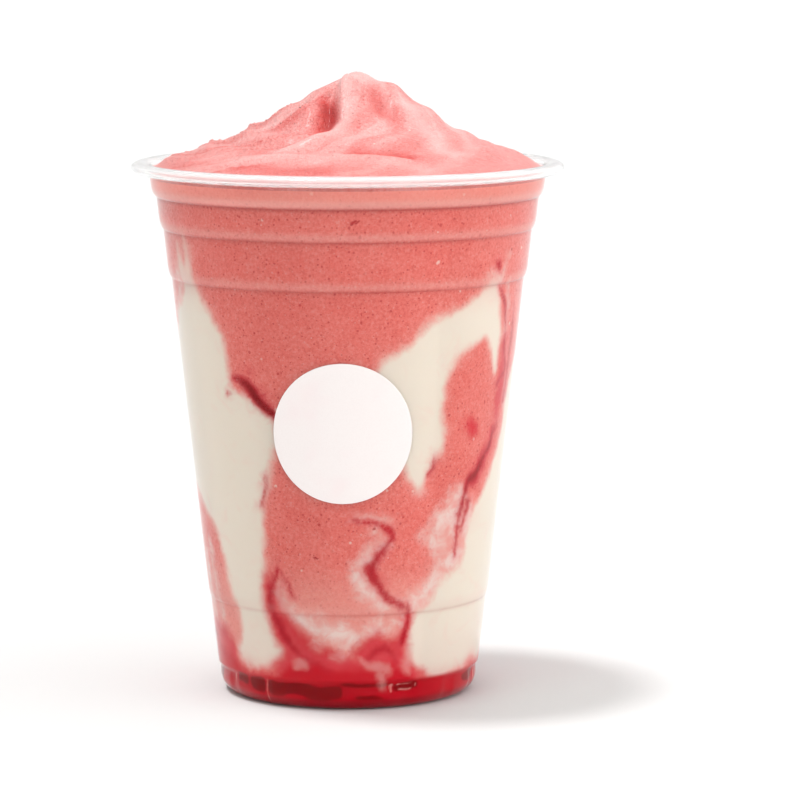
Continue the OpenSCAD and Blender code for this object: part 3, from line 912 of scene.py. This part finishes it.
# %% Measure the wall's shapes and the ledges
angle = np.degrees(np.arctan2(co[:, 0], -co[:, 1]))
fields = all_around(angle, co[:, 2])
# Painted highlight: a lighter band on each ledge's rounded shoulder, standing in for the pale floor it
# reflects.
fields["shoulder"] = sum(np.exp(-(((co[:, 2] - low - 0.42 * LEDGE_H) / (0.36 * LEDGE_H)) ** 2)) * step
                         for low, step in LEDGES)
# Painted shade: a thin darker line along the sharp crease at the foot of each ledge.
fields["crease"] = sum(np.exp(-(((co[:, 2] - low - 0.1) / 0.4) ** 2)) * step for low, step in LEDGES)
print("measured:", list(fields))


# %% Measure the heap's colours
def painted(lines):
    """The strongest of several soft lines over the heap: (strength, half width, path)."""
    return np.maximum.reduce([strength * ridge_line(co[:, 0], co[:, 1], path, half_wide)
                              for strength, half_wide, path in lines])


# Painted shade: deeper red laid into the heap's dents and groove, beside the hollow and below the low
# ridge.
fields["heap_shade"] = painted([
    (1.0, 4.2, [(2.6, -30.8), (8, -31.2), (13.4, -30.4)]),
    (0.6, 4.0, [(7.4, -10), (9.8, -15)]),
    (0.6, 4.0, [(-24, -33), (-13, -38.5), (-5, -40.5)]),
    (0.9, 3.6, [(-5.2, -11), (-5.8, -19)]),
    (0.5, 4.0, [(-14, -12), (-9, -14)]),
    (0.6, 4.0, [(-6, 17), (-8, 24)]),
])
# Painted shade: the dark red of the hollow beside the peak.
fields["hollow"] = painted([(1.0, 3.0, [(-3.9, -12.5), (-3.1, -16), (-3.0, -17.5)])])
# Painted light: lighter patches on the ridges, the top of the peak and the right slope, where light
# falls on the heap.
fields["heap_light"] = painted([
    (0.9, 4.0, [(0, -9), (-0.4, -15), (-2.4, -21), (-8, -25), (-15, -27)]),
    (0.5, 4.2, [(-32, -18), (-24, -27), (-13, -33), (0, -35.5), (16, -36)]),
    (0.8, 6.0, [(14, -8), (18, -16), (22, -24)]),
    (0.6, 6.0, [(-11, -5), (-20, -7)]),
    (0.9, 5.0, [(0.5, -7), (3.5, -3), (6, 0)]),
    (0.7, 5.0, [(4, 12), (12, 20), (22, 26)]),
])
fields["flow"] = spiral(co[:, 0], co[:, 1], 31, 5, 16) * soft(np.hypot(co[:, 0], co[:, 1]) / 16)
for title, values in fields.items():
    stored = drink.data.attributes.new(title, "FLOAT", "POINT")
    stored.data.foreach_set("value", values.astype(np.float32))
print("stored:", list(fields))

# %% [markdown]
# ## Finish of the drink's side
# Blended fruit is a dense suspension, so light enters a little and comes back soft. The layers are
# set over each other in the order in which they were poured: pink, then the pale cloud round each
# band, then yoghurt, then syrup, whose core is nearly black because it is clear and deep. Subsurface
# light is kept small, because a strong one would wash out the fine streaks.

# %% Side material: the pink body


def torn(tree, name, softness, fray, scale, inset=0.0):
    """A torn-edged mask round a stored distance; inset draws the edge inward, in mm."""
    distance = measured(tree, name)
    if inset:
        distance = maths(tree, "ADD", distance, inset)
    edge = use_group(tree, torn_edge, Distance=distance, Softness=softness, Fray=fray, Scale=scale)
    return edge["Mask"]


side_material, tree, shader = new_material(
    "smoothie_side", Roughness=0.6, Specular_IOR_Level=0.0, Subsurface_Weight=0.06,
    Subsurface_Scale=0.0008, Subsurface_Radius=(1.0, 0.45, 0.35),
)
height = height_in_mm(tree)
body = use_group(tree, fruit, Pink=srgb(250, 144, 134), Deep_Pink=srgb(243, 120, 111),
                 Pale_Pink=srgb(250, 190, 178), Flecks=1.0)["Color"]
# Painted light: the pink turns lighter and warmer just under the rim, where light comes down through the
# curl.
body = mix(tree, ramp(tree, height, 114.2, 118.0, 0, 0.6), body, srgb(255, 174, 160))
pale_low = times(tree, ramp(tree, height, 37, 25), ramp(tree, height, 9, 13))
body = layer(tree, body, pale_low, 0.5, srgb(252, 186, 174))
print("pink body:", len(tree.nodes), "nodes")

# %% Side material: clouds and yoghurt
wisp = noise(tree, place_in_mm(tree), 0.22, 3.0, 0.55, 0.5)
cloud_color = mix(tree, ramp(tree, wisp, 0.38, 0.7), srgb(253, 238, 230), srgb(248, 182, 172))
body = layer(tree, body, torn(tree, "pale", 2.4, 1.3, 0.36), 0.86, cloud_color)
body = layer(tree, body, torn(tree, "yoghurt", 3.6, 1.6, 0.3), 0.5, srgb(252, 206, 196))
cream = mix(tree, ramp(tree, height, 24, 10, 0, 0.25), srgb(250, 239, 225), srgb(250, 226, 217))
veil = noise(tree, place_in_mm(tree), 0.13, 4.0, 0.6, 1.2)
cream = mix(tree, ramp(tree, veil, 0.5, 0.78, 0, 0.3), cream, srgb(252, 216, 206))
thinner_high = ramp(tree, height, 88, 106, 1, 0.5)
body = layer(tree, body, torn(tree, "yoghurt", 1.5, 0.6, 0.34), thinner_high, cream)
print("with clouds and yoghurt:", len(tree.nodes), "nodes")

# %% Side material: syrup, from its faint stain to its dark core
body = layer(tree, body, torn(tree, "stain", 2.2, 1.0, 0.26), 0.86, srgb(228, 30, 54))
body = layer(tree, body, torn(tree, "syrup", 2.4, 1.2, 0.4), 0.55, srgb(236, 96, 106))
body = layer(tree, body, torn(tree, "syrup", 0.9, 0.55, 0.5), 0.85, srgb(206, 22, 44))
darker_high = ramp(tree, height, 42, 62, 0.35, 0.92)
body = layer(tree, body, torn(tree, "syrup", 0.7, 0.3, 0.6, 0.8), darker_high, srgb(146, 3, 14))
body = layer(tree, body, torn(tree, "band", 4.2, 1.3, 0.16), 0.5, srgb(248, 90, 102))
body = layer(tree, body, torn(tree, "band", 1.8, 0.8, 0.2, 1.6), 0.94, srgb(222, 14, 40))
print("with syrup:", len(tree.nodes), "nodes")

# %% Side material: ledges, foot and small things
# Painted highlight: the lighter band on each ledge's rounded shoulder.
body = layer(tree, body, measured(tree, "shoulder"), 0.42, srgb(255, 214, 205))
# Painted shade along each ledge's crease.
body = layer(tree, body, measured(tree, "crease"), 0.55, srgb(190, 60, 62))
foot = mix(tree, noise(tree, place_in_mm(tree), 0.2, 2.0, 0.5), srgb(200, 2, 26), srgb(224, 12, 40))
# Painted shade: the dark places seen through the foot between the lugs.
foot = mix(tree, torn(tree, "foot_shade", 0.35, 0.08, 0.4), foot, srgb(158, 0, 10))
foot = mix(tree, ramp(tree, height, 2.9, 2.0, 0, 0.85), foot, srgb(184, 14, 34))
foot = layer(tree, foot, torn(tree, "glint", 0.25, 0.15, 0.9), 0.8, srgb(250, 168, 160))
body = mix(tree, ramp(tree, height, FOOT_H + 0.7, FOOT_H - 0.4), body, foot)
body = layer(tree, body, torn(tree, "lump", 1.0, 0.6, 0.45), 0.6, srgb(244, 178, 172))
body = layer(tree, body, torn(tree, "skin", 0.25, 0.3, 1.2), 0.8, srgb(188, 18, 38))
join(tree, body, shader.inputs["Base Color"])
print("side finish:", len(tree.nodes), "nodes")

# %% [markdown]
# ## Finish of the heap
# In the open air the drink is wet foam: paler, with a soft wet gloss that breaks on fine bubbles. The
# same blended fruit group gives its colour, drawn out here into pale and deep flow lines, and the
# foam relief goes to the bump.

# %% Heap material
heap_material, tree, shader = new_material(
    "smoothie_heap", Specular_IOR_Level=0.42, Subsurface_Weight=0.2,
    Subsurface_Scale=0.0015, Subsurface_Radius=(1.0, 0.45, 0.38), Coat_Weight=0.12, Coat_Roughness=0.2,
)
pink = use_group(tree, fruit, Pink=srgb(230, 150, 145), Deep_Pink=srgb(220, 128, 124),
                 Pale_Pink=srgb(245, 194, 190), Flecks=1.0)["Color"]
flow = times(tree, noise(tree, place_in_mm(tree), 0.25, 4.0, 0.6, 0.8), 2.0)
flow = maths(tree, "ADD", measured(tree, "flow"), flow)
pink = mix(tree, ramp(tree, flow, 1.3, 2.4, 0, 0.36), pink, srgb(245, 203, 199))
pink = mix(tree, ramp(tree, flow, 0.9, -0.4, 0, 0.42), pink, srgb(218, 116, 111))
pink = mix(tree, ramp(tree, height_in_mm(tree), 132, 124, 0, 0.42), pink, srgb(216, 116, 110))
# Painted light on the heap's ridges, peak and right slope.
pink = layer(tree, pink, measured(tree, "heap_light"), 0.52, srgb(247, 206, 202))
# Painted shade in the heap's dents and groove and below its ridges.
pink = layer(tree, pink, measured(tree, "heap_shade"), 0.95, srgb(210, 66, 60))
# Painted shade in the hollow beside the peak; the same mask also makes the hollow rougher.
pink = layer(tree, pink, measured(tree, "hollow"), 0.92, srgb(172, 36, 36))
join(tree, pink, shader.inputs["Base Color"])
join(tree, ramp(tree, measured(tree, "hollow"), 0.0, 0.8, 0.32, 0.8), shader.inputs["Roughness"])
add_bump(tree, shader, use_group(tree, foam_relief, Strength=1.0)["Height"], 1.0, 0.0011)
print("heap finish:", len(tree.nodes), "nodes")

# %% Both finishes on the drink
drink.data.materials.append(side_material)
drink.data.materials.append(heap_material)
# The heap's finish starts one row of faces early, so none of the side's finish shows over the fill line
heap_faces = [int(p.index >= below_heap - COLUMNS) for p in drink.data.polygons]
drink.data.polygons.foreach_set("material_index", heap_faces)
drink.data.update()
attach(drink, "root")
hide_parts("smoothie", "yoghurt_left", "yoghurt_right", "yoghurt_side", "yoghurt_back", "syrup")
print("heap:", sum(heap_faces), "of", len(heap_faces), "faces")

# %% [markdown]
# ## The clear cup
# The cup is one thin sheet of clear plastic, and its curl, ledges and foot are what catch the light.
# A single skin with no thickness would be quicker, but it is turned from a closed outline with real
# thickness, so the light bends twice, as in the real wall. Sixteen shallow lugs round the foot keep
# stacked cups apart. Shadow rays pass straight through, so the drink is lit as if the thin wall
# weren't there.

# %% Cup mesh
LUGS = 16
LUG_DEPTH = 0.22
LUG_START = 6.5
LUG_HALF = 3.4
CUP_COLUMNS = 240
CUP_STEP = 1.6


outer_line = (
    [(0, RECESS_H), (RING_IN - RECESS_SIDE, RECESS_H), (RING_IN, 0)]
    + arc((RING_OUT, FOOT_ROUND), FOOT_ROUND, -90, 0, 10)
    + [(RING_OUT + FOOT_ROUND, z) for z in (4.6, 5.2, 5.8)]
    + [(BASE_R - FOOT_INSET, FOOT_H - STEP_H), (BASE_R, FOOT_H)]
    + [(float(wall_r(z)), z) for z in wall_heights(FOOT_H + 0.5, CURL_Z, CUP_STEP)]
)
curl_centre = (float(wall_r(CURL_Z)) - WALL + CURL_W, CURL_Z)
curl_line = (arc(curl_centre, CURL_W - WALL, 180, -110, 22, CURL_R - WALL)
             + arc(curl_centre, CURL_W, -110, 180, 28, CURL_R))
inner_line = (
    [(float(wall_r(z)) - WALL, z) for z in wall_heights(FOOT_H + 0.6, CURL_Z - 0.3, CUP_STEP)][::-1]
    + [(BASE_R - WALL, FOOT_H + 0.1), (BASE_R - FOOT_INSET - WALL, FOOT_H + 0.1 - STEP_H)]
    + arc((RING_OUT, FOOT_ROUND), FOOT_ROUND - WALL, 0, -90, 8)
    + [(RING_IN + WALL * 0.8, WALL), (RING_IN - RECESS_SIDE + WALL * 0.6, RECESS_H + WALL),
       (0, RECESS_H + WALL)]
)


def lugs(turn, r, z, k):
    """Shallow dents in the outside of the foot, one every 360 / LUGS degrees."""
    if k >= len(outer_line) or not 1.0 < z < FOOT_H - 0.4 or r < RING_OUT + 1:
        return np.full(len(turn), r)
    across = (turn + LUG_START) % (360 / LUGS) - 180 / LUGS
    rise = float(soft((z - 0.8) / 1.6) * soft((FOOT_H - 0.5 - z) / 1.0))
    return r - LUG_DEPTH * rise * soft((LUG_HALF - np.abs(across)) / 0.9)


cup = turned("cup_plastic", outer_line + curl_line + inner_line, CUP_COLUMNS, lugs)
print("cup:", len(cup.data.polygons), "faces")

# %% Clear plastic


def let_shadow_rays_through(tree, shader):
    """Shadow rays see clear air here; all other rays see the shader."""
    either = tree.nodes.new("ShaderNodeMixShader")
    join(tree, tree.nodes.new("ShaderNodeLightPath").outputs["Is Shadow Ray"], either.inputs[0])
    join(tree, shader.outputs[0], either.inputs[1])
    join(tree, tree.nodes.new("ShaderNodeBsdfTransparent").outputs[0], either.inputs[2])
    join(tree, either.outputs[0], tree.nodes["Material Output"].inputs["Surface"])


plastic, tree, shader = new_material(
    "clear_plastic", Base_Color=(0.99, 0.995, 0.995), IOR=1.46, Transmission_Weight=1.0,
    Specular_IOR_Level=0.1, Specular_Tint=(0.3, 0.3, 0.3),
)
scuff = noise(tree, place_in_mm(tree), 0.35, 4.0, 0.7, 0.4)
join(tree, ramp(tree, scuff, 0.35, 0.75, 0.012, 0.05), shader.inputs["Roughness"])
add_bump(tree, shader, noise(tree, place_in_mm(tree), 0.16, 2.0, 0.5), 0.25, 0.0002)
let_shadow_rays_through(tree, shader)
cup.data.materials.append(plastic)
print("clear plastic:", len(tree.nodes), "nodes")

# %% [markdown]
# ## The curl of the rim
# The curl is the same sheet rolled up on itself, so several skins of plastic lie behind one another
# and it reads as white. Rolling the sheet in several turns would do that too, but a single tube of
# slightly milky plastic gives the same white line with far fewer faces.

# %% Milky plastic of the curl
curl_plastic, tree, shader = new_material(
    "curl_plastic", Base_Color=(0.985, 0.985, 0.985), IOR=1.46, Transmission_Weight=0.8,
    Specular_IOR_Level=0.5, Roughness=0.04,
)
let_shadow_rays_through(tree, shader)
cup.data.materials.append(curl_plastic)
curl_low, curl_in = CURL_Z - 2 * CURL_R, wall_r(CURL_Z) + 0.1
curl_faces = [int(p.center.z / MM > curl_low and math.hypot(p.center.x, p.center.y) / MM > curl_in)
              for p in cup.data.polygons]
cup.data.polygons.foreach_set("material_index", curl_faces)
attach(cup, "root")
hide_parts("cup")
print("curl:", sum(curl_faces), "faces")

# %% [markdown]
# ## The paper label
# A round paper sticker, cut from a sheet and rubbed down on the wall. It has to bend with the cup. A
# flat disc could be bent by a modifier, but here its rings are laid straight on the wall's own
# formula, and its rim turns down to the plastic. It carries no print.

# %% Label mesh
LABEL_R = (label_high[2] - label_low[2]) / MM / 2
LABEL_Z = (label_high[2] + label_low[2]) / MM / 2
LABEL_TURN = -2.0
LABEL_T = 0.15
SPOKES = 128
label_rings = [(LABEL_R * t, LABEL_T) for t in np.linspace(0, 0.985, 16)] + [
    (LABEL_R * 0.996, LABEL_T * 0.8), (LABEL_R, LABEL_T * 0.4), (LABEL_R, 0.01)]


def on_wall(across, height, lift):
    """A point on the wall: mm round from the label's middle, height in mm, lift over the wall."""
    r = float(wall_r(height)) + lift
    turn = math.radians(LABEL_TURN) + across / r
    return (r * math.sin(turn) * MM, -r * math.cos(turn) * MM, height * MM)


label_points = [on_wall(0, LABEL_Z, LABEL_T)]
label_faces = []
for k, (r, lift) in enumerate(label_rings[1:]):
    for j in range(SPOKES):
        a = 2 * math.pi * j / SPOKES
        label_points.append(on_wall(r * math.cos(a), LABEL_Z + r * math.sin(a), lift))
    for j in range(SPOKES):
        n = (j + 1) % SPOKES
        if k == 0:
            label_faces.append((0, 1 + j, 1 + n))
        else:
            low = 1 + (k - 1) * SPOKES
            label_faces.append((low + j, low + SPOKES + j, low + SPOKES + n, low + n))
print("label:", round(2 * LABEL_R, 1), "mm across,", len(label_faces), "faces")

# %% Label paper
paper, tree, shader = new_material("label_paper", Roughness=0.55, Specular_IOR_Level=0.3)
fibre = noise(tree, place_in_mm(tree), 2.6, 5.0, 0.65, 0.3)
glow = noise(tree, place_in_mm(tree), 0.09, 2.0, 0.5)
sheet = mix(tree, ramp(tree, fibre, 0.4, 0.7, 0, 0.35), srgb(243, 235, 233), srgb(237, 227, 225))
sheet = mix(tree, ramp(tree, glow, 0.5, 0.75, 0, 0.6), sheet, srgb(243, 226, 226))
join(tree, sheet, shader.inputs["Base Color"])
add_bump(tree, shader, fibre, 0.12, 0.0001)
label = mesh_object("label_sticker", label_points, label_faces, [paper])
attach(label, "root")
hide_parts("label")
print("paper:", len(tree.nodes), "nodes")
